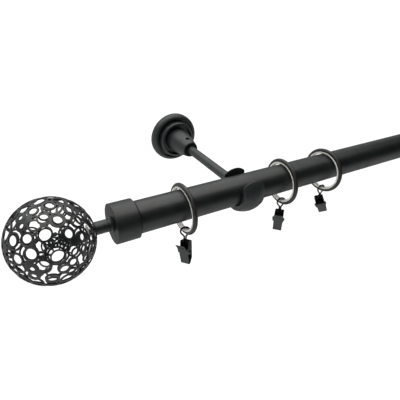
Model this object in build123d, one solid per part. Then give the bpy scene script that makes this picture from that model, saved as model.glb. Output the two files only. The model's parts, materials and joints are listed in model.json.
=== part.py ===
from build123d import *
import os
from math import acos, asin, cos, degrees, hypot, pi, radians, sin, sqrt

# Curtain rod with two wall brackets, finials, rings and clips, in millimetres.
# +X runs along the pole, +Y points into the wall and +Z is up. The origin is the centre of
# the left bracket's wall face, so the wall is the plane Y = 0.

# --- driving dimensions ---------------------------------------------------------------
pole_radius = 12.5
pole_wall = 1.0
pole_length = 1000.0
overhang = 112.0
bracket_spacing = pole_length - 2 * overhang
projection = 133.0
pole_y = -projection
pole_z = 0.6
middle_x = bracket_spacing / 2

running_gap = 0.05
push_gap = 0.1
free_gap = 0.3

# wall plate, rosette, bush and arm
plate_radius = 22.0
plate_thickness = 2.6
screw_hole_radius = 2.5
screw_hole_spacing = 28.0
countersink = 1.6
countersink_depth = 1.2
rosette_radius = 25.4
rosette_depth = 41.8
boss_mouth_radius = 7.9
arm_radius = 4.3
arm_back = 20.0
arm_spigot_radius = 2.5
bush_radius = 6.2
bush_back = 22.0
bush_lip_radius = 7.3
bush_lip = 1.3
bush_lip_round = 0.5
grub_depth = 34.7
grub_radius = 2.0
grub_length = 3.2
long_grub_length = 5.2
hex_key_radius = 1.1

# cup that carries the pole
cup_radius = 19.2
cup_crown_radius = 22.0
cup_half_width = 10.3
cup_drop = 0.2
cup_bore = 13.0
cup_bore_lift = 0.2
cup_corner_round = 1.2
cup_lip_round = 0.5
socket_depth = 3.2
spigot_length = 2.2

# finial: end cap, stem and openwork ball
cap_radius = 15.1
cap_length = 18.5
cap_end_wall = 2.8
cap_taper = 1.4
cap_edge = 0.6
cap_screw_place = 9.0
stem_radius = 4.75
stem_length = 11.7
stem_collar = 1.4
ball_radius = 29.7
ball_shell = 0.9
ball_holes = 96
ball_hole_radius = 3.9
ball_solid_angle = 17.0
ball_screw_radius = 2.5
ball_screw_length = 16.0
ball_screw_head = 4.6
ball_screw_head_height = 3.0
screwdriver_slot = 1.0
washer_radius = 7.5
washer_thickness = 1.2

# ring, liner and hanging clip
ring_outer = 21.1
ring_seam = 18.4
ring_inner = 16.6
ring_width = 3.4
liner_width = 3.6
ring_drop = ring_inner - pole_radius - 0.25
section_radius = (ring_outer + ring_inner) / 2
wire_radius = 0.55
eye_radius = 3.8
eye_drop = 0.45
eye_neck = 5.2
neck_half = 0.75
leg_drop = 4.2
bail_drop = 11.7
bail_half = 4.0
leg_half = 1.5
clip_half = 4.1
sheet = 0.6
clip_tip = -18.6
plate_back = 3.9
pivot_y = -1.0
pivot_z = -6.6
pin_radius = 0.75
jaw_half = 4.0
thumb_reach = 8.1
thumb_height = -0.8
rib_radius = 0.35
spring_turns = 6
spring_wire = 0.25

# Each ring: place along the pole, turn of the ring about the vertical, how far round the
# ring its eye hangs from the lowest point to the front, turn of the eye and of the clip
# about the vertical, then how far the clip leans sideways and backwards, in degrees.
rings = [
    dict(x=-56.9, yaw=0.5, around=11.0, eye=-20.0, clip=-60.5, lean=-10.0, tilt=-12.0),
    dict(x=43.0, yaw=-1.5, around=11.0, eye=-14.0, clip=-48.0, lean=-1.5, tilt=-8.0),
    dict(x=94.6, yaw=5.5, around=7.0, eye=-10.0, clip=-43.0, lean=-24.0, tilt=14.0),
    dict(x=700.0, yaw=-3.0, around=0.0, eye=8.0, clip=15.0, lean=0.0, tilt=0.0),
    dict(x=832.0, yaw=2.0, around=0.0, eye=-6.0, clip=-12.0, lean=0.0, tilt=0.0),
]


# --- helpers --------------------------------------------------------------------------
def along_x(radius, start, end, y=0.0, z=0.0):
    """A cylinder along X from start to end."""
    middle = Pos((start + end) / 2, y, z)
    return middle * Rot(0, 90, 0) * Cylinder(radius, end - start)


def along_y(radius, start, end, x=0.0, z=0.0):
    """A cylinder along Y from start to end."""
    middle = Pos(x, (start + end) / 2, z)
    return middle * Rot(90, 0, 0) * Cylinder(radius, end - start)


def along_z(radius, start, end, x=0.0, y=0.0):
    """A cylinder along Z from start to end."""
    return Pos(x, y, (start + end) / 2) * Cylinder(radius, end - start)


def spun(edges, axis):
    """The solid that a closed outline in the XY plane makes when it turns about an axis."""
    return revolve(make_face(edges), axis=axis)


def outline(*points):
    """Straight edges through the points, closed."""
    return Polyline(*points, close=True)


def block(x, y, z):
    """A box between two limits along each axis."""
    size = [high - low for low, high in (x, y, z)]
    centre = [(low + high) / 2 for low, high in (x, y, z)]
    return Pos(*centre) * Box(*size)


def at_far_end(solid):
    """The same piece at the other end of the rod, mirrored about its middle."""
    return mirror(solid, about=Plane(origin=(middle_x, 0, 0), z_dir=(1, 0, 0)))


def grub_screw(radius, length):
    """A headless screw standing on Z = 0, with a hexagon socket in its top."""
    socket = extrude(RegularPolygon(hex_key_radius, 6), length / 2)
    body = along_z(radius, 0, length)
    return body - Pos(0, 0, length / 2) * socket


# --- bracket --------------------------------------------------------------------------
def wall_plate():
    """The disc that is screwed to the wall, with two countersunk screw holes."""
    plate = along_y(plate_radius, -plate_thickness, 0)
    for side in (-1, 1):
        x = side * screw_hole_spacing / 2
        plate -= along_y(screw_hole_radius, -plate_thickness, 0, x=x)
        sink = Cone(screw_hole_radius + countersink, screw_hole_radius, countersink_depth)
        plate -= Pos(x, countersink_depth / 2 - plate_thickness, 0) * Rot(-90, 0, 0) * sink
    return plate


def rosette():
    """The stepped cover that fits over the wall plate and carries the arm in its boss."""
    rim = [
        Line((24.6, 0), (rosette_radius, -1.2)),
        Line((rosette_radius, -1.2), (rosette_radius, -3.4)),
        ThreePointArc((rosette_radius, -3.4), (24.4, -7.0), (21.8, -8.8)),
        Polyline((21.8, -8.8), (21.2, -8.6), (20.8, -6.4), (18.9, -6.4), (18.7, -11.8)),
        ThreePointArc((18.7, -11.8), (18.0, -13.6), (16.6, -14.2)),
        Polyline((16.6, -14.2), (16.1, -14.0), (15.6, -10.6), (12.6, -10.6)),
    ]
    mouth = -rosette_depth
    boss = [
        ThreePointArc((12.6, -10.6), (10.7, -27.0), (boss_mouth_radius, mouth + 0.8)),
        Line((boss_mouth_radius, mouth + 0.8), (boss_mouth_radius - 0.5, mouth)),
        Line((boss_mouth_radius - 0.5, mouth), (bush_radius + push_gap, mouth)),
    ]
    bore = bush_radius + push_gap
    seat = plate_radius + push_gap
    inside = Polyline(
        (bore, mouth),
        (bore, -bush_back + 0.5),
        (5.2, -bush_back + 0.5),
        (5.2, -4.5),
        (8.0, -4.5),
        (8.0, -8.4),
        (15.0, -8.4),
        (17.0, -3.6),
        (seat, -3.0),
        (seat, 0),
        (24.6, 0),
    )
    cover = spun(rim + boss + [inside], Axis.Y)
    return cover - along_z(grub_radius + running_gap, 0, 12, y=-grub_depth)


def arm_bush():
    """The plastic bush in the mouth of the boss, in which the arm slides."""
    mouth = -rosette_depth
    sleeve = along_y(bush_radius, mouth, -bush_back)
    lip = along_y(bush_lip_radius, mouth - bush_lip, mouth)
    lip = fillet(lip.edges().sort_by(Axis.Y)[0], bush_lip_round)
    bush = sleeve + lip
    bush -= along_y(arm_radius + running_gap, mouth - bush_lip, -bush_back)
    return bush - along_z(grub_radius + running_gap, 0, 12, y=-grub_depth)


def rosette_screw():
    """The grub screw on top of the boss that clamps the arm."""
    return Pos(0, -grub_depth, arm_radius + running_gap) * grub_screw(grub_radius, grub_length)


def cup_back():
    """Y of the bottom of the socket in the back of the cup."""
    return pole_y + cup_radius - socket_depth


def bracket_arm():
    """The round arm between the boss and the cup, with a spigot for the cup."""
    rod = along_y(arm_radius, cup_back() + running_gap, -arm_back)
    rod = chamfer(rod.edges().sort_by(Axis.Y)[-1], 0.6)
    return rod + along_y(arm_spigot_radius, cup_back() - spigot_length, -arm_back - 5)


def cup():
    """The open cradle: a barrel about the pole's axis with a U-shaped slot from above."""
    sag = cup_crown_radius - sqrt(cup_crown_radius**2 - cup_half_width**2)
    edge = cup_radius - sag
    ends = Polyline(
        (cup_half_width, edge), (cup_half_width, 0), (-cup_half_width, 0), (-cup_half_width, edge)
    )
    crown = ThreePointArc((-cup_half_width, edge), (0, cup_radius), (cup_half_width, edge))
    face = make_face([ends, crown])
    face = fillet(face.vertices().sort_by(Axis.Y)[-2:], cup_corner_round)
    barrel = Pos(0, pole_y, pole_z - cup_drop) * revolve(face, axis=Axis.X)
    reach = cup_half_width + 1
    centre = pole_z + cup_bore_lift
    slot = along_x(cup_bore, -reach, reach, y=pole_y, z=centre)
    slot += block((-reach, reach), (pole_y - cup_bore, pole_y + cup_bore), (centre, centre + 30))
    cradle = barrel - slot
    top = cradle.edges().filter_by_position(Axis.Z, centre + 1, centre + 20)
    cradle = fillet(top.sort_by(Axis.Z)[-2:], cup_lip_round)
    cradle -= along_y(arm_radius + running_gap, cup_back(), cup_back() + 9)
    cradle -= along_y(arm_spigot_radius + running_gap, cup_back() - spigot_length - 0.2, 0)
    return cradle - along_z(grub_radius + push_gap, pole_z - 30, pole_z, y=pole_y)


def cup_screw():
    """The grub screw under the cup, backed off so that the pole can lift out."""
    bottom = pole_z - cup_drop - cup_radius + 0.5
    screw = grub_screw(grub_radius, long_grub_length)
    screw = Rot(180, 0, 0) * Pos(0, 0, -long_grub_length) * screw
    return Pos(0, pole_y, bottom) * screw


# --- pole and finials -----------------------------------------------------------------
def pole():
    """The steel tube."""
    tube = along_x(pole_radius, -overhang, bracket_spacing + overhang)
    bore = along_x(pole_radius - pole_wall, -overhang, bracket_spacing + overhang)
    return Pos(0, pole_y, pole_z) * (tube - bore)


cap_face = -overhang - cap_end_wall - push_gap
ball_centre = cap_face - stem_length - ball_radius


def end_cap():
    """The collar over the end of the pole, rounded outside and tapered to the pole."""
    end = cap_face + cap_length
    bore = pole_radius + push_gap
    hole = stem_radius - 0.7
    edges = [
        Line((cap_face, hole), (cap_face, cap_radius - cap_edge)),
        RadiusArc((cap_face, cap_radius - cap_edge), (cap_face + cap_edge, cap_radius), cap_edge),
        Line((cap_face + cap_edge, cap_radius), (end - cap_taper, cap_radius)),
        Polyline(
            (end - cap_taper, cap_radius),
            (end, bore + 0.5),
            (end, bore),
            (cap_face + cap_end_wall, bore),
            (cap_face + cap_end_wall, hole),
            (cap_face, hole),
        ),
    ]
    cap = spun(edges, Axis.X)
    grub = along_z(grub_radius + running_gap, -cap_radius - 1, 0, x=cap_face + cap_screw_place)
    return Pos(0, pole_y, pole_z) * (cap - grub)


def cap_screw():
    """The grub screw under the end cap that holds it on the pole."""
    length = cap_radius - pole_radius - push_gap
    screw = Rot(180, 0, 0) * grub_screw(grub_radius, length)
    place = Pos(cap_face + cap_screw_place, pole_y, pole_z - pole_radius - running_gap)
    return place * screw


def finial_stem():
    """The threaded tube between the end cap and the ball, with a collar on the cap."""
    spigot = stem_radius - 0.7 - running_gap
    bore = ball_screw_radius + running_gap
    ball_side = cap_face - stem_length
    edges = [
        Polyline(
            (cap_face + cap_end_wall - 0.1, bore),
            (cap_face + cap_end_wall - 0.1, spigot),
            (cap_face, spigot),
            (cap_face, stem_radius + 1.3),
            (cap_face - 0.5, stem_radius + 1.3),
        ),
        ThreePointArc(
            (cap_face - 0.5, stem_radius + 1.3),
            (cap_face - 0.9, stem_radius + 0.4),
            (cap_face - 0.5 - stem_collar, stem_radius),
        ),
        Polyline(
            (cap_face - 0.5 - stem_collar, stem_radius),
            (ball_side - 0.3, stem_radius),
            (ball_side - 0.3, bore),
            (cap_face + cap_end_wall - 0.1, bore),
        ),
    ]
    stem = Pos(0, pole_y, pole_z) * spun(edges, Axis.X)
    seat = Pos(ball_centre, pole_y, pole_z) * Sphere(ball_radius + 0.02)
    return stem - seat


def hole_directions(count):
    """Evenly spread directions over a sphere, leaving out those near the stem on +X."""
    golden = pi * (3 - sqrt(5))
    for i in range(count):
        x = 1 - (2 * i + 1) / count
        if degrees(acos(x)) < ball_solid_angle:
            continue
        around = golden * i
        ring = sqrt(1 - x * x)
        yield x, ring * cos(around), ring * sin(around)


def openwork_ball():
    """The hollow ball with round openings all over, and a screw hole towards the stem."""
    inner = ball_radius - ball_shell
    shell = Sphere(ball_radius) - Sphere(inner)
    drills = [along_x(ball_screw_radius + running_gap, inner - 2, ball_radius + 1)]
    for direction in hole_directions(ball_holes):
        plane = Plane(origin=(0, 0, 0), z_dir=direction)
        drills.append(plane * along_z(ball_hole_radius, inner - 3, ball_radius + 1))
    return Pos(ball_centre, pole_y, pole_z) * (shell - drills)


def washer_face():
    """X of the side of the washer that rests inside the ball."""
    inner = ball_radius - ball_shell - 0.02
    return ball_centre + sqrt(inner**2 - washer_radius**2)


def ball_washer():
    """The plain washer inside the ball."""
    face = washer_face()
    disc = along_x(washer_radius, face - washer_thickness, face)
    disc -= along_x(ball_screw_radius + push_gap, face - washer_thickness, face)
    return Pos(0, pole_y, pole_z) * disc


def ball_screw():
    """The pan-head screw from inside the ball into the stem."""
    seat = washer_face() - washer_thickness
    head = along_x(ball_screw_head, seat - ball_screw_head_height, seat)
    head = fillet(head.edges().sort_by(Axis.X)[0], 1.2)
    screw = head + along_x(ball_screw_radius, seat, seat + ball_screw_length)
    for turn in (0, 90):
        half = screwdriver_slot / 2
        slot = block((seat - 4, seat - 1.2), (-2.4, 2.4), (-half, half))
        screw -= Rot(turn, 0, 0) * slot
    return Pos(0, pole_y, pole_z) * screw


# --- rings and clips ------------------------------------------------------------------
def ring_place(ring):
    """The centre and turn of a ring."""
    return Pos(ring["x"], pole_y, pole_z - ring_drop) * Rot(0, 0, ring["yaw"])


def metal_ring():
    """The ring itself, half-round outside and open inside for its liner."""
    half = ring_width / 2
    side = ring_seam + 1.1
    edges = [
        Polyline((half, side), (half, ring_seam), (-half, ring_seam), (-half, side)),
        ThreePointArc((-half, side), (0, ring_outer), (half, side)),
    ]
    return spun(edges, Axis.X)


def ring_liner():
    """The nylon liner that slides on the pole."""
    half = liner_width / 2
    outside = ring_seam - 0.02
    face = make_face(outline((half, outside), (-half, outside), (-half, ring_inner), (half, ring_inner)))
    face = fillet(face.vertices().sort_by(Axis.Y)[:2], 0.8)
    return revolve(face, axis=Axis.X)


def section_centre(ring):
    """The middle of the ring's section where its eye hangs."""
    angle = radians(ring["around"])
    arm = (0, -section_radius * sin(angle), -section_radius * cos(angle))
    return (ring_place(ring) * Vertex(*arm)).center()


def bail_centre(ring):
    """The middle of the two wire ends that the clip hangs on."""
    return section_centre(ring) - Vector(0, 0, bail_drop)


def clip_place(ring):
    """A clip's own frame: X across it, -Y to its front and Z up, at its bail."""
    turn = Rot(0, 0, ring["clip"]) * Rot(0, ring["lean"], 0) * Rot(ring["tilt"], 0, 0)
    return Pos(*bail_centre(ring)) * turn


def across_clip(ring):
    """The direction of the bail, which is the clip's tilting axis."""
    turn = Rot(0, 0, ring["clip"]) * Rot(0, ring["lean"], 0)
    return Vector(*(turn * Vertex(1, 0, 0)).center())


def clip_eye(ring):
    """The wire: a round eye about the ring, a neck, and two legs that end in the clip."""
    centre = section_centre(ring) - Vector(0, 0, eye_drop)
    turn = radians(ring["eye"] + ring["yaw"])
    wide = Vector(cos(turn), sin(turn), 0)
    up = Vector(0, 0, 1)
    reach = hypot(neck_half, eye_neck)
    slope = asin(neck_half / reach)
    touch = acos(eye_radius / reach)
    start = -pi / 2 + slope + touch
    across = across_clip(ring)
    bail = bail_centre(ring)

    def on_loop(angle):
        return centre + wide * (eye_radius * cos(angle)) + up * (eye_radius * sin(angle))

    path = []
    for side in (1, -1):
        neck = centre + wide * (side * neck_half) - up * eye_neck
        knee = neck - up * leg_drop
        corner = bail + across * (side * leg_half)
        end = bail + across * (side * bail_half)
        tangent = on_loop(start) if side > 0 else on_loop(pi - start)
        path.append(FilletPolyline(end, corner, knee, neck, tangent, radius=0.7))
    path.append(ThreePointArc(on_loop(start), on_loop(pi / 2), on_loop(pi - start)))
    wire = Wire(path[0].edges() + path[1].edges() + path[2].edges())
    profile = Plane(origin=wire @ 0, z_dir=wire % 0) * Circle(wire_radius)
    return sweep(profile, path=wire)


def across_plate(points, low, high):
    """A plate whose outline lies in the YZ plane, between two limits of X."""
    face = make_face(Plane.YZ * Polyline(*points, close=True))
    return Pos(low, 0, 0) * extrude(face, high - low, dir=(1, 0, 0))


def both_sides(points, inner, outer):
    """Two plates with the same outline in the YZ plane, one on each side."""
    return across_plate(points, -outer, -inner) + across_plate(points, inner, outer)


def clip_back():
    """The clip's fixed jaw: a plate with two folded ears, bored for the bail and the pin."""
    front = plate_back - sheet
    profile = [
        (front, 1.3),
        (plate_back, 1.3),
        (plate_back, clip_tip + 5.0),
        (0.95, clip_tip),
        (0.3, clip_tip),
        (front, clip_tip + 4.8),
    ]
    plate = across_plate(profile, -clip_half, clip_half)
    corners = plate.edges().filter_by(Axis.Y).sort_by(Axis.Z)[-2:]
    plate = fillet(corners, 0.8)
    ear = [
        (front + 0.1, 0.9),
        (-0.2, 1.2),
        (-1.1, 0.4),
        (-1.1, pivot_z + 3.6),
        (-2.2, pivot_z + 1.7),
        (-2.2, pivot_z - 1.4),
        (-0.6, pivot_z - 3.2),
        (front + 0.1, pivot_z - 5.0),
    ]
    jaw = plate + both_sides(ear, clip_half - sheet, clip_half)
    jaw -= along_x(wire_radius + running_gap, -clip_half - 1, clip_half + 1)
    pin_bore = pin_radius + running_gap
    return jaw - along_x(pin_bore, -clip_half - 1, clip_half + 1, y=pivot_y, z=pivot_z)


def clip_jaw():
    """The clip's moving jaw: a bent plate with a ribbed thumb tab and two outside ears."""
    knee = (-3.6, pivot_z)
    top = (-thumb_reach, thumb_height)
    profile = [
        (sheet - thumb_reach, thumb_height + sheet / 2),
        top,
        knee,
        (-0.6, clip_tip),
        (0.0, clip_tip),
        (-2.85, pivot_z + 0.1),
    ]
    jaw = across_plate(profile, -jaw_half, jaw_half)
    ear = [
        (-3.9, pivot_z + 1.8),
        (-2.0, pivot_z + 2.2),
        (-0.4, pivot_z + 1.6),
        (0.4, pivot_z),
        (-0.4, pivot_z - 1.6),
        (-2.2, pivot_z - 2.5),
        (-3.0, pivot_z - 2.0),
        knee,
    ]
    inner = clip_half + free_gap
    jaw += both_sides(ear, inner, inner + sheet)
    bridge = [
        (-4.25, pivot_z + 1.9),
        (-3.5, pivot_z + 1.9),
        (-2.8, pivot_z),
        (-2.5, pivot_z - 2.2),
        (-3.0, pivot_z - 2.2),
        knee,
    ]
    jaw += across_plate(bridge, -inner - sheet, inner + sheet)
    for share in (0.35, 0.62):
        y = top[0] + share * (knee[0] - top[0])
        z = top[1] + share * (knee[1] - top[1])
        jaw += along_x(rib_radius, 1 - jaw_half, jaw_half - 1, y=y + 0.1, z=z)
    pin_bore = pin_radius + running_gap
    return jaw - along_x(pin_bore, -inner - 1, inner + 1, y=pivot_y, z=pivot_z)


def clip_pin():
    """The rivet through both jaws."""
    shank = clip_half + free_gap + sheet + 0.1
    pin = along_x(pin_radius, -shank, shank, y=pivot_y, z=pivot_z)
    for side in (-1, 1):
        low, high = sorted((side * shank, side * (shank + 0.5)))
        pin += along_x(pin_radius + 0.4, low, high, y=pivot_y, z=pivot_z)
    return pin


def clip_spring():
    """The close-wound torsion spring on the rivet, with a leg against each jaw."""
    wire = spring_wire
    inner = pin_radius + 0.2
    half = spring_turns * wire
    edges = [Polyline((-half, inner), (-half, inner + wire))]
    for turn in range(spring_turns):
        left = -half + 2 * wire * turn
        crest = (left + wire, inner + 2 * wire)
        edges.append(ThreePointArc((left, inner + wire), crest, (left + 2 * wire, inner + wire)))
    edges.append(Polyline((half, inner + wire), (half, inner), (-half, inner)))
    coil = Pos(0, pivot_y, pivot_z) * spun(edges, Axis.X)
    back_leg = along_z(wire, pivot_z - 4.0, pivot_z, x=half - wire, y=pivot_y + inner + wire)
    front_leg = along_z(wire, pivot_z, pivot_z + 2.4, x=wire - half, y=pivot_y - inner - wire)
    return coil + back_leg + front_leg


# --- the whole rod --------------------------------------------------------------------
def bracket_nodes():
    """The pieces of both brackets, the right one a mirror image of the left."""
    pieces = {
        "wall_plate": wall_plate(),
        "rosette": rosette(),
        "arm_bush": arm_bush(),
        "bracket_arm": bracket_arm(),
        "cup": cup(),
        "cup_screw": cup_screw(),
    }
    nodes = {}
    for name, piece in pieces.items():
        nodes[name + "_left"] = piece
        nodes[name + "_right"] = at_far_end(piece)
    return nodes


def finial_nodes():
    """The pieces of both finials."""
    pieces = {"end_cap": end_cap(), "finial_stem": finial_stem(), "openwork_ball": openwork_ball()}
    nodes = {}
    for name, piece in pieces.items():
        nodes[name + "_left"] = piece
        nodes[name + "_right"] = at_far_end(piece)
    return nodes


def fastener_nodes():
    """Identical fasteners at both ends, each pair one node."""
    pieces = {
        "rosette_screws": rosette_screw(),
        "cap_screws": cap_screw(),
        "ball_screws": ball_screw(),
        "ball_washers": ball_washer(),
    }
    nodes = {}
    for name, piece in pieces.items():
        nodes[name] = Compound([*piece.solids(), *at_far_end(piece).solids()])
    return nodes


def ring_nodes():
    """Each ring with its liner, wire eye and clip."""
    in_ring = {"ring": metal_ring(), "ring_liner": ring_liner()}
    in_clip = {
        "clip_back": clip_back(),
        "clip_jaw": clip_jaw(),
        "clip_pin": clip_pin(),
        "clip_spring": clip_spring(),
    }
    nodes = {}
    for number, ring in enumerate(rings, 1):
        for name, piece in in_ring.items():
            nodes[f"{name}_{number}"] = ring_place(ring) * piece
        nodes[f"clip_eye_{number}"] = clip_eye(ring)
        for name, piece in in_clip.items():
            nodes[f"{name}_{number}"] = clip_place(ring) * piece
    return nodes


def all_nodes():
    """Every node by name."""
    return {"pole": pole(), **bracket_nodes(), **finial_nodes(), **fastener_nodes(), **ring_nodes()}


os.makedirs("parts", exist_ok=True)
for node, shape in all_nodes().items():
    shape.label = node
    export_step(shape, f"parts/{node}.step")
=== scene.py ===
import json
import math
import random

import bmesh
import bpy
from mathutils import Matrix, Vector


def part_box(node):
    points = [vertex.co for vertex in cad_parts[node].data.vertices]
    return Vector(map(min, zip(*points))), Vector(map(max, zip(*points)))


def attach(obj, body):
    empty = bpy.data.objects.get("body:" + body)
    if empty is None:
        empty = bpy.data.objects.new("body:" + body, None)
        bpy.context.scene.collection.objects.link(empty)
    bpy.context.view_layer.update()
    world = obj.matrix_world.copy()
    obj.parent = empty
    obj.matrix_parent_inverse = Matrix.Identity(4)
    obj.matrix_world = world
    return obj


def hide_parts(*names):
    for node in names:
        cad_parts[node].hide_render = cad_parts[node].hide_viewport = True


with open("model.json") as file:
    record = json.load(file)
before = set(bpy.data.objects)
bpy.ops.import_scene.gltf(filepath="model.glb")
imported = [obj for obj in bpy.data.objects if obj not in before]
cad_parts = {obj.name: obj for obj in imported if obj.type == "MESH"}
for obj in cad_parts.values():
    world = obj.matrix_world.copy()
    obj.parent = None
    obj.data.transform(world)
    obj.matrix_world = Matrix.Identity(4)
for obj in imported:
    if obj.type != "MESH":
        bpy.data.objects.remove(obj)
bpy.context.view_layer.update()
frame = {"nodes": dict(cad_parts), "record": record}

MM = 0.001
nodes = frame["nodes"]

# --- where things are, from the CAD ---------------------------------------------------
ball_low, ball_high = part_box("openwork_ball_left")
BALL_CENTRE = (ball_low + ball_high) / 2
BALL_RADIUS = (ball_high.x - ball_low.x) / 2
far_low, far_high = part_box("openwork_ball_right")
FAR_BALL_CENTRE = (far_low + far_high) / 2

# --- camera ---------------------------------------------------------------------------
# Its place and clipping in metres, its lens and sensor in mm.
CAMERA_PLACE = Vector((-0.1788, -0.3578, 0.1598))
CAMERA_YAW = math.radians(31.33)
CAMERA_PITCH = math.radians(31.14)
CAMERA_ROLL = math.radians(2.27)
CAMERA_LENS = 34.78
CAMERA_SENSOR = 36
CAMERA_NEAR = 0.005
CAMERA_FAR = 100


def camera_axes():
    """Right, up and forward of the camera as unit vectors."""
    forward = Vector((
        math.sin(CAMERA_YAW) * math.cos(CAMERA_PITCH),
        math.cos(CAMERA_YAW) * math.cos(CAMERA_PITCH),
        -math.sin(CAMERA_PITCH),
    ))
    right = Vector((math.cos(CAMERA_YAW), -math.sin(CAMERA_YAW), 0))
    up = right.cross(forward)
    c, s = math.cos(CAMERA_ROLL), math.sin(CAMERA_ROLL)
    return c * right + s * up, c * up - s * right, forward


def make_camera():
    """The scene's camera, looking along the axes above."""
    right, up, forward = camera_axes()
    data = bpy.data.cameras.new("camera")
    data.sensor_width = CAMERA_SENSOR
    data.lens = CAMERA_LENS
    data.clip_start = CAMERA_NEAR
    data.clip_end = CAMERA_FAR
    camera = bpy.data.objects.new("camera", data)
    turn = Matrix((right, up, -forward)).transposed().to_4x4()
    camera.matrix_world = Matrix.Translation(CAMERA_PLACE) @ turn
    bpy.context.scene.collection.objects.link(camera)
    bpy.context.scene.camera = camera


# --- materials ------------------------------------------------------------------------
class Shader:
    """A small helper that adds nodes and links to one material."""

    def __init__(self, name):
        self.material = bpy.data.materials.new(name)
        self.material.use_nodes = True
        self.tree = self.material.node_tree
        self.body = self.tree.nodes["Principled BSDF"]
        self.place = self.add("ShaderNodeTexCoord").outputs["Object"]

    def add(self, kind, **values):
        """A new node, with properties or input values set by name."""
        node = self.tree.nodes.new(kind)
        for key, value in values.items():
            if hasattr(node, key):
                setattr(node, key, value)
            else:
                node.inputs[key.replace("_", " ")].default_value = value
        return node

    def link(self, a, b):
        self.tree.links.new(a, b)

    def noise(self, scale, detail=4.0, rough=0.55, stretch=None):
        node = self.add("ShaderNodeTexNoise", Scale=scale, Detail=detail, Roughness=rough)
        place = self.place
        if stretch:
            mapping = self.add("ShaderNodeMapping")
            mapping.inputs["Scale"].default_value = stretch
            self.link(place, mapping.inputs["Vector"])
            place = mapping.outputs["Vector"]
        self.link(place, node.inputs["Vector"])
        return node.outputs["Fac"]

    def ramp(self, value, low, high, from_low=0.0, from_high=1.0):
        """The value stretched, so that from_low gives low and from_high gives high."""
        node = self.add("ShaderNodeMapRange")
        node.inputs["From Min"].default_value = from_low
        node.inputs["From Max"].default_value = from_high
        node.inputs["To Min"].default_value = low
        node.inputs["To Max"].default_value = high
        self.link(value, node.inputs["Value"])
        return node.outputs["Result"]

    def math(self, operation, a, b):
        node = self.add("ShaderNodeMath", operation=operation)
        self.link(a, node.inputs[0])
        self.link(b, node.inputs[1])
        return node.outputs[0]

    def mix(self, share, a, b):
        """Colour a where share is 0 and colour b where it is 1."""
        node = self.add("ShaderNodeMix", data_type="RGBA")
        for socket, value in ((node.inputs[6], a), (node.inputs[7], b)):
            if isinstance(value, tuple):
                socket.default_value = (*value, 1)
            else:
                self.link(value, socket)
        self.link(share, node.inputs[0])
        return node.outputs[2]

    def bump(self, height, strength, distance):
        node = self.add("ShaderNodeBump")
        node.inputs["Strength"].default_value = strength
        node.inputs["Distance"].default_value = distance
        self.link(height, node.inputs["Height"])
        self.link(node.outputs["Normal"], self.body.inputs["Normal"])

    def clouds(self, scale, dark, light, spread=0.15):
        """Soft patches of two tones."""
        cloud = self.noise(scale, 5.0)
        return self.mix(self.ramp(cloud, 0, 1, 0.5 - spread, 0.5 + spread), dark, light)

    def set(self, **values):
        """Values, colours or links for the shader's own inputs, by name."""
        for key, value in values.items():
            socket = self.body.inputs[key.replace("_", " ")]
            if isinstance(value, (int, float)):
                socket.default_value = value
            elif isinstance(value, tuple):
                socket.default_value = (*value, 1)
            else:
                self.link(value, socket)


# Scales of the noise, in cycles per metre, and how deep the surface waves go.
PAINT_CLOUDS = 45
PAINT_RUBS = 70
PAINT_GLOSS = 130
PAINT_PEEL = 1500
PAINT_GRAIN = 2600
PEEL_DEPTH = 0.04 * MM
STEEL_CLOUDS = 220
STEEL_MARKS = 700
STEEL_GLOSS = 900
MARK_DEPTH = 0.03 * MM
NYLON_CLOUDS = 160
NYLON_GLOSS = 500
NYLON_FLOW = 900
FLOW_DEPTH = 0.04 * MM
# The most that the bright grain and the rubbed spots may cover the paint.
SPECK = 0.35
RUB = 0.35
GREY_WEAR = (0.06, 0.06, 0.055)
DARK_WEAR = (0.02, 0.02, 0.02)
# The sheen falls from full to this share between these two slants of the surface.
EDGE_SHEEN = 0.1
SHEEN_FALL = (0.2, 0.75)


def shade(colour, gain, lift=0.0):
    """A colour made lighter or darker."""
    return tuple(min(1.0, c * gain + lift) for c in colour)


def painted(name, colour, rough, shine=0.42, peel=0.5, wear=GREY_WEAR):
    """Satin paint: cloudy tone, fine grain, orange peel, rub marks and a sheen that softens
    towards the edges."""
    s = Shader(name)
    tone = s.clouds(PAINT_CLOUDS, shade(colour, 0.8), shade(colour, 1.22, 0.002))
    grain = s.ramp(s.noise(PAINT_GRAIN, 3.0, 0.6), 0, SPECK, 0.45, 0.75)
    tone = s.mix(grain, tone, shade(colour, 1.7, 0.004))
    rubbed = s.ramp(s.noise(PAINT_RUBS, 6.0, 0.7), 0, RUB, 0.66, 0.74)
    s.set(Base_Color=s.mix(rubbed, tone, wear))
    s.set(Roughness=s.ramp(s.noise(PAINT_GLOSS), rough - 0.05, rough + 0.07, 0.3, 0.7))
    facing = s.add("ShaderNodeLayerWeight").outputs["Facing"]
    s.set(Specular_IOR_Level=s.ramp(facing, shine, shine * EDGE_SHEEN, *SHEEN_FALL))
    s.bump(s.noise(PAINT_PEEL, 2.0, 0.5), peel, PEEL_DEPTH)
    return s.material


def bare_steel(name, colour, rough):
    """Plated steel with fine turning marks and cloudy tone."""
    s = Shader(name)
    s.set(Base_Color=s.clouds(STEEL_CLOUDS, shade(colour, 0.75), colour), Metallic=1.0)
    s.set(Roughness=s.ramp(s.noise(STEEL_GLOSS), rough - 0.08, rough + 0.12, 0.3, 0.7))
    s.bump(s.noise(STEEL_MARKS, 3.0, 0.6, (1, 6, 6)), 0.3, MARK_DEPTH)
    return s.material


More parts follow.
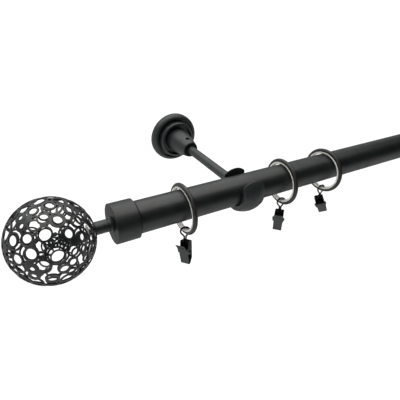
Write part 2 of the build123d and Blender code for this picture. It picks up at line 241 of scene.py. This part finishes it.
def nylon(name, colour):
    """Moulded nylon: pale and soft, with faint flow marks."""
    s = Shader(name)
    s.set(Base_Color=s.clouds(NYLON_CLOUDS, shade(colour, 0.86), colour, 0.2))
    s.set(Roughness=s.ramp(s.noise(NYLON_GLOSS), 0.38, 0.56, 0.3, 0.7))
    s.bump(s.noise(NYLON_FLOW, 3.0), 0.25, FLOW_DEPTH)
    return s.material


# How brightly the paper glows: towards the front, under the object, and far behind it as
# the camera sees it, and the stretches of Y, in metres, over which one passes into the next.
PAPER_FRONT_GLOW = 0.15
PAPER_GLOW = 0.82
PAPER_FAR_GLOW = 0.94
FRONT_FADE = (-1.3, -0.7)
FAR_FADE = (0.4, 2.4)


def backdrop_paint(name):
    """Plain pale studio paper that glows a little, and less towards the front."""
    s = Shader(name)
    tone = s.mix(s.ramp(s.noise(3.0), 0, 1), (0.22, 0.22, 0.219), (0.24, 0.24, 0.239))
    s.set(Base_Color=tone, Roughness=0.95, Specular_IOR_Level=0.0)
    split = s.add("ShaderNodeSeparateXYZ")
    s.link(s.place, split.inputs[0])
    glow = s.ramp(split.outputs["Y"], PAPER_FRONT_GLOW, PAPER_GLOW, *FRONT_FADE)
    far_glow = s.ramp(split.outputs["Y"], PAPER_GLOW, PAPER_FAR_GLOW, *FAR_FADE)
    seen = s.math("MULTIPLY", far_glow, s.add("ShaderNodeLightPath").outputs["Is Camera Ray"])
    s.set(Emission_Color=(1.0, 1.0, 1.0), Emission_Strength=s.math("MAXIMUM", glow, seen))
    return s.material


MATERIALS = {
    "pole_paint": painted("pole_satin", (0.0035, 0.0062, 0.0060), 0.40, 0.48),
    "bracket_paint": painted("bracket_satin", (0.010, 0.0150, 0.0150), 0.42, 0.46),
    "ball_paint": painted("ball_satin", (0.006, 0.0085, 0.0085), 0.36, 0.55),
    "ring_paint": painted("ring_satin", (0.012, 0.0125, 0.0115), 0.36, 0.36),
    "nylon": nylon("liner_nylon", (0.76, 0.745, 0.70)),
    "clip_wire": painted("wire_lacquer", (0.004, 0.004, 0.004), 0.40, 0.15, 0.2, DARK_WEAR),
    "clip_black": painted("clip_black_lacquer", (0.004, 0.004, 0.005), 0.40, 0.3),
    "clip_grey": painted("clip_grey_lacquer", (0.026, 0.032, 0.032), 0.42),
    "black_plastic": painted("bush_plastic", (0.002, 0.002, 0.0025), 0.55, 0.1, wear=DARK_WEAR),
    "black_steel": bare_steel("blackened_steel", (0.09, 0.09, 0.085), 0.4),
    "zinc_steel": bare_steel("zinc_steel", (0.62, 0.62, 0.59), 0.34),
}
CAP_PAINT = painted("cap_satin", (0.0055, 0.0080, 0.0076), 0.42, 0.46)


def paint_cad():
    """Every CAD node takes the material of its slot, and the end caps match the pole."""
    for part in frame["record"]["subparts"]:
        piece = nodes[part["node"]]
        is_cap = part["node"].startswith("end_cap")
        piece.data.materials.clear()
        piece.data.materials.append(CAP_PAINT if is_cap else MATERIALS[part["material_slot"]])


# --- the openwork balls ---------------------------------------------------------------
# Roughly the ball's outline as the camera sees it: how far its centre is to the right of
# the camera's axis and above it, and its half width and half height, as slopes from it.
OUTLINE_CENTRE = (-0.3901, -0.1066)
OUTLINE_HALF = (0.1285, 0.1128)
# Openings that show light right through the ball: across and up, as shares of that
# outline, the opening's radius and its band's width in mm, and how the far opening is set
# off: 1 right and down, so that the light shows as a rising oval, -1 right and up, for a
# falling one, and 0 not at all.
OPENINGS = [
    (-0.01, 0.84, 3.1, 1.1, 1), (-0.35, 0.71, 2.6, 1.2, 1), (-0.13, 0.54, 2.9, 1.1, -1),
    (0.57, 0.47, 3.0, 1.5, -1), (-0.59, 0.54, 1.3, 2.2, 0), (-0.57, 0.35, 1.3, 2.3, 0),
    (-0.11, 0.17, 3.9, 1.1, 1), (-0.47, 0.03, 3.2, 1.2, -1), (-0.76, 0.03, 3.6, 1.1, 1),
    (0.39, 0.17, 2.9, 1.4, 0), (0.66, 0.10, 2.4, 1.6, 0), (-0.39, -0.32, 3.6, 1.1, -1),
    (-0.66, -0.44, 3.2, 1.1, -1), (0.15, -0.32, 4.2, 1.1, 1), (0.50, -0.22, 2.7, 1.2, 1),
    (0.31, -0.63, 2.9, 1.1, 0), (0.49, -0.48, 1.9, 1.3, 0), (-0.35, -0.65, 1.4, 2.4, 0),
    (-0.31, -0.81, 1.5, 2.2, 0), (0.07, -0.88, 3.2, 1.2, 0), (0.77, -0.38, 2.0, 1.2, 0),
    (0.86, 0.09, 1.7, 1.2, 0), (0.69, -0.16, 2.0, 0.9, 0), (0.17, 0.49, 3.0, 1.0, 0),
]
# How far the far opening is set off, as a share of the outline.
OVAL = 0.034
# Wider rings that cross between the openings: across, up, side (1 near, -1 far), radius
# in mm.
CROSSINGS = [
    (0.05, 0.80, 1, 5.4), (0.17, 0.50, 1, 3.9), (0.02, 0.17, 1, 6.0), (0.13, 0.01, -1, 4.4),
    (-0.16, -0.16, 1, 4.6), (0.17, -0.30, 1, 6.2), (-0.72, 0.03, 1, 5.6), (-0.38, 0.12, -1, 5.6),
    (-0.42, -0.30, -1, 6.2), (0.36, 0.17, -1, 5.2), (0.66, 0.12, 1, 5.0), (0.00, -0.06, -1, 3.2),
    (-0.30, 0.42, 1, 4.2), (0.45, 0.72, 1, 4.0), (-0.60, -0.62, 1, 3.2), (-0.12, -0.60, 1, 4.0),
    (0.46, -0.60, -1, 5.0), (0.80, -0.20, 1, 4.2), (-0.86, -0.22, 1, 3.8), (0.28, -0.10, 1, 2.6),
]
# Solid patches between the openings: across, up, radius in mm.
PATCHES = [
    (-0.42, 0.53, 2.4), (0.52, -0.02, 2.6), (-0.44, -0.55, 2.6), (-0.20, -0.74, 2.6),
    (-0.90, -0.16, 3.2), (0.72, -0.30, 2.0), (-0.33, -0.11, 1.6), (0.12, 0.16, 1.3),
]
SEGMENTS = 72
SKIN = BALL_RADIUS - 0.05 * MM
BAND_DEPTH = 0.95 * MM
BAND_EDGE = 0.12 * MM
CROSSING_BAND = 1.15 * MM
# The widest that a band may reach from its axis, as a share of the skin's radius.
WIDEST = 0.98
# How thick a patch is, and how far it lies below the skin.
PATCH_DEPTH = 0.8 * MM
PATCH_SINK = 0.05 * MM
PATCH_STEPS = 5
# Openings are drawn in towards the middle of the near side and out on the far side, and
# made a little larger. Small ones stay in line and are made larger still.
NEAR_PULL = 0.985
FAR_PUSH = 1.04
OPENING_GAIN = 1.02
FAR_GAIN = 1.08
SMALL_OPENING = 2.0
SMALL_GAIN = 1.2
# How far outside an opening the middle of a band stays, before it is broken off.
OPENING_CLEAR = 0.35 * MM
# The ring round the stem's hole, and how far the others stay from it.
STEM_AXIS = Vector((1, 0, 0))
STEM_RADIUS = 4.9 * MM
STEM_BAND = 1.2 * MM
STEM_CLEAR = 6.5 * MM
# Rings that fill the rest of the skin: their radii in mm, how far each centre stays from
# the openings' and from each other, and how many places are tried.
FILL_RADII = (4.2, 5.0, 5.8)
FILL_SPACING = 7.5 * MM
FILL_TRIES = 4000
FILL_SEED = 5


def skin_points(across, up):
    """Where the line of sight at this place meets the near and the far side of the ball."""
    right, upward, forward = camera_axes()
    ray = forward + right * (OUTLINE_CENTRE[0] + across * OUTLINE_HALF[0])
    ray = (ray + upward * (OUTLINE_CENTRE[1] + up * OUTLINE_HALF[1])).normalized()
    offset = CAMERA_PLACE - BALL_CENTRE
    along = -offset.dot(ray)
    half = math.sqrt(max(0.0, along ** 2 - offset.length_squared + SKIN ** 2))
    near = offset + ray * (along - half)
    far = offset + ray * (along + half)
    return near.normalized(), far.normalized()


def arc(a, b):
    """Distance between two directions over the skin, in metres."""
    return SKIN * math.acos(max(-1.0, min(1.0, a.dot(b))))


def clear_of_stem(axis, reach):
    """Whether a ring of this reach stays off the stem's own ring."""
    return arc(axis, STEM_AXIS) > STEM_CLEAR + reach


def spokes(axis):
    """Unit vectors round an axis, one for each segment."""
    side = axis.orthogonal().normalized()
    other = axis.cross(side)
    turns = [2 * math.pi * k / SEGMENTS for k in range(SEGMENTS)]
    return [side * math.cos(turn) + other * math.sin(turn) for turn in turns]


def band_profile(radius, band):
    """The band's section: distance from its axis and depth below the ball's skin."""
    outside = radius + band
    return [
        (radius, BAND_EDGE), (radius + BAND_EDGE, 0), (outside - BAND_EDGE, 0),
        (outside, BAND_EDGE), (outside, BAND_DEPTH), (radius, BAND_DEPTH),
    ]


def add_band(mesh, axis, radius, band, holes=()):
    """A short tube whose outer edge follows the ball's skin, broken where it would cross a hole."""
    loops = []
    kept = []
    for spoke in spokes(axis):
        loop = []
        for reach, depth in band_profile(radius, band):
            height = math.sqrt(SKIN ** 2 - min(reach, SKIN * WIDEST) ** 2) - depth
            loop.append(spoke * reach + axis * height)
        loops.append(loop)
        middle = sum(loop, Vector()).normalized()
        kept.append(all(arc(middle, hole) > reach + OPENING_CLEAR for hole, reach in holes))
    rings = []
    for k, loop in enumerate(loops):
        has_neighbour = kept[k - 1] or kept[(k + 1) % SEGMENTS]
        rings.append([mesh.verts.new(v) for v in loop] if kept[k] and has_neighbour else None)
    for k in range(SEGMENTS):
        a, b = rings[k], rings[(k + 1) % SEGMENTS]
        if a and b:
            for i in range(len(a)):
                j = (i + 1) % len(a)
                mesh.faces.new((a[i], a[j], b[j], b[i]))
        elif a:
            mesh.faces.new(a)
        elif b:
            mesh.faces.new(list(reversed(b)))


def add_patch(mesh, axis, radius):
    """A solid round patch just below the ball's skin."""
    outer = [(step, 0.0) for step in range(1, PATCH_STEPS + 1)]
    inner = [(step, PATCH_DEPTH) for step in range(PATCH_STEPS, 0, -1)]
    rings = []
    for step, depth in outer + inner:
        reach = radius * step / PATCH_STEPS
        height = math.sqrt(SKIN ** 2 - reach ** 2) - depth - PATCH_SINK
        rings.append([mesh.verts.new(spoke * reach + axis * height) for spoke in spokes(axis)])
    for a, b in zip(rings, rings[1:]):
        for k in range(SEGMENTS):
            j = (k + 1) % SEGMENTS
            mesh.faces.new((a[k], a[j], b[j], b[k]))
    mesh.faces.new(list(reversed(rings[0])))
    mesh.faces.new(rings[-1])


def opening_places():
    """Direction, radius and band width of every opening, on the near and the far side."""
    places = []
    for across, up, radius, band, slant in OPENINGS:
        small = radius < SMALL_OPENING
        gain = SMALL_GAIN if small else OPENING_GAIN
        pull, push = (1, 1) if small else (NEAR_PULL, FAR_PUSH)
        near = skin_points(across * pull, up * pull)[0]
        far = skin_points(across * push + OVAL * abs(slant), up * push - OVAL * slant)[1]
        for axis, reach in ((near, radius * gain * MM), (far, radius * gain * FAR_GAIN * MM)):
            if clear_of_stem(axis, reach):
                places.append((axis, reach, band * MM))
    return places


def add_filling(mesh, holes):
    """Rings of middling size wherever the net is still bare."""
    centres = [axis for axis, _ in holes]
    rng = random.Random(FILL_SEED)
    for _ in range(FILL_TRIES):
        z = rng.uniform(-1, 1)
        t = rng.uniform(0, 2 * math.pi)
        across = math.sqrt(1 - z * z)
        axis = Vector((across * math.cos(t), across * math.sin(t), z))
        radius = rng.choice(FILL_RADII) * MM
        is_bare = min(arc(axis, other) for other in centres) > FILL_SPACING
        if is_bare and clear_of_stem(axis, radius):
            add_band(mesh, axis, radius, CROSSING_BAND, holes)
            centres.append(axis)


def openwork_mesh(name):
    """The ball's net: openings, crossing rings, patches and the rings that fill in."""
    mesh = bmesh.new()
    places = opening_places()
    holes = [(axis, reach) for axis, reach, _ in places]
    for axis, reach, band in places:
        add_band(mesh, axis, reach, band, [hole for hole in holes if hole[0] is not axis])
    for across, up, side, radius in CROSSINGS:
        axis = skin_points(across, up)[0 if side > 0 else 1]
        if clear_of_stem(axis, radius * MM):
            add_band(mesh, axis, radius * MM, CROSSING_BAND, holes)
    for across, up, radius in PATCHES:
        add_patch(mesh, skin_points(across, up)[0], radius * MM)
    add_band(mesh, STEM_AXIS, STEM_RADIUS, STEM_BAND)
    add_filling(mesh, holes)
    data = bpy.data.meshes.new(name)
    mesh.normal_update()
    bmesh.ops.recalc_face_normals(mesh, faces=mesh.faces)
    mesh.to_mesh(data)
    mesh.free()
    data.materials.append(MATERIALS["ball_paint"])
    return data


def openwork_ball(name, replaced, centre, turn):
    """One ball in place of its plain CAD shell."""
    ball = bpy.data.objects.new(name, openwork_mesh(name))
    bpy.context.scene.collection.objects.link(ball)
    ball.data.transform(Matrix.Translation(centre) @ turn)
    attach(ball, "rod")
    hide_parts(replaced)


# --- wires ----------------------------------------------------------------------------
# The coat's thickness, and how far above the clip's bores it starts and is full.
COAT = 0.13 * MM
COAT_START = 1.0 * MM
COAT_FULL = 2.0 * MM
# Vertices nearer than this are one, so that the wire's faces stay joined under the coat.
WELD = 0.001 * MM
WIRE_COUNT = sum(name.startswith("clip_eye_") for name in nodes)


def coated_wire(number):
    """The wire with its thick coat of lacquer, which stops above the clip's bores."""
    name = f"clip_eye_{number}"
    joints = {joint["name"]: joint for joint in frame["record"]["behaviour"]["joints"]}
    bail = joints[f"clip_{number}_tilt"]["pos_m"][2]
    mesh = bmesh.new()
    mesh.from_mesh(nodes[name].data)
    bmesh.ops.remove_doubles(mesh, verts=mesh.verts, dist=WELD)
    mesh.normal_update()
    for vertex in mesh.verts:
        height = vertex.co.z - bail - COAT_START
        share = max(0.0, min(1.0, height / (COAT_FULL - COAT_START)))
        vertex.co += vertex.normal * COAT * share
    for face in mesh.faces:
        face.smooth = True
    data = bpy.data.meshes.new(f"coated_wire_{number}")
    mesh.to_mesh(data)
    mesh.free()
    data.materials.append(MATERIALS["clip_wire"])
    wire = bpy.data.objects.new(f"coated_wire_{number}", data)
    bpy.context.scene.collection.objects.link(wire)
    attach(wire, f"eye_{number}_body")
    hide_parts(name)


# --- studio ---------------------------------------------------------------------------
FLOOR_Z = -0.42
FRONT_Y = -3.5
BACK_Y = 2.6
HALF_WIDTH = 6.0
WALL_TOP = 4.0
SWEEP = 0.8
SWEEP_STEPS = 12
# How strongly the air lights the object, and how bright it looks to the camera.
AIR_LIGHT = 0.03
AIR_SEEN = 0.85
AIR_COLOUR = (0.95, 0.98, 1.0, 1)
AIM = (0.1, -0.1, 0)
# Each light's name, place, what it points at, width and height in metres, watts, colour.
LIGHTS = [
    ("overhead", (0.1, 0.15, 1.3), (0.1, 0.15, 0), (2.6, 1.8), 38, (1, 0.985, 0.95)),
    ("back_strip", (0.1, 1.4, 1.2), AIM, (2.6, 0.9), 12, (1, 1, 1)),
    ("left_fill", (-1.6, -0.7, 0.5), AIM, (0.9, 1.2), 5, (1, 0.99, 0.97)),
    ("floor_wash", (0.4, 0.9, 2.6), (0.4, 1.2, FLOOR_Z), (4.0, 3.0), 6, (1, 1, 1)),
]


def studio_sweep():
    """A pale floor that curves up into a backdrop."""
    line = [(FRONT_Y, FLOOR_Z), (BACK_Y - SWEEP, FLOOR_Z)]
    for k in range(1, SWEEP_STEPS + 1):
        turn = math.pi / 2 * k / SWEEP_STEPS
        y = BACK_Y - SWEEP + SWEEP * math.sin(turn)
        z = FLOOR_Z + SWEEP * (1 - math.cos(turn))
        line.append((y, z))
    line.append((BACK_Y, WALL_TOP))
    data = bpy.data.meshes.new("studio_sweep")
    verts = [(x, y, z) for y, z in line for x in (-HALF_WIDTH, HALF_WIDTH)]
    faces = [(2 * k, 2 * k + 1, 2 * k + 3, 2 * k + 2) for k in range(len(line) - 1)]
    data.from_pydata(verts, [], faces)
    data.polygons.foreach_set("use_smooth", [True] * len(faces))
    data.materials.append(backdrop_paint("studio_paper"))
    floor = bpy.data.objects.new("studio_sweep", data)
    bpy.context.scene.collection.objects.link(floor)


def area_light(name, place, target, size, power, colour):
    """One rectangular soft light."""
    data = bpy.data.lights.new(name, "AREA")
    data.shape = "RECTANGLE"
    data.size, data.size_y = size
    data.energy = power
    data.color = colour
    light = bpy.data.objects.new(name, data)
    light.location = place
    aim = Vector(target) - Vector(place)
    light.rotation_euler = aim.to_track_quat("-Z", "Y").to_euler()
    bpy.context.scene.collection.objects.link(light)


def studio_air():
    """Pale air that lights the object only a little."""
    world = bpy.data.worlds.new("studio_air")
    bpy.context.scene.world = world
    world.use_nodes = True
    tree = world.node_tree
    air = tree.nodes["Background"]
    air.inputs["Color"].default_value = AIR_COLOUR
    path = tree.nodes.new("ShaderNodeLightPath")
    strength = tree.nodes.new("ShaderNodeMapRange")
    strength.inputs["To Min"].default_value = AIR_LIGHT
    strength.inputs["To Max"].default_value = AIR_SEEN
    tree.links.new(path.outputs["Is Camera Ray"], strength.inputs["Value"])
    tree.links.new(strength.outputs["Result"], air.inputs["Strength"])


paint_cad()
half_turn = Matrix.Rotation(math.pi, 4, "Z")
openwork_ball("ball_net_left", "openwork_ball_left", BALL_CENTRE, Matrix.Identity(4))
openwork_ball("ball_net_right", "openwork_ball_right", FAR_BALL_CENTRE, half_turn)
for wire_number in range(1, WIRE_COUNT + 1):
    coated_wire(wire_number)
make_camera()
studio_sweep()
for light_values in LIGHTS:
    area_light(*light_values)
studio_air()
bpy.context.scene.view_settings.view_transform = "Standard"
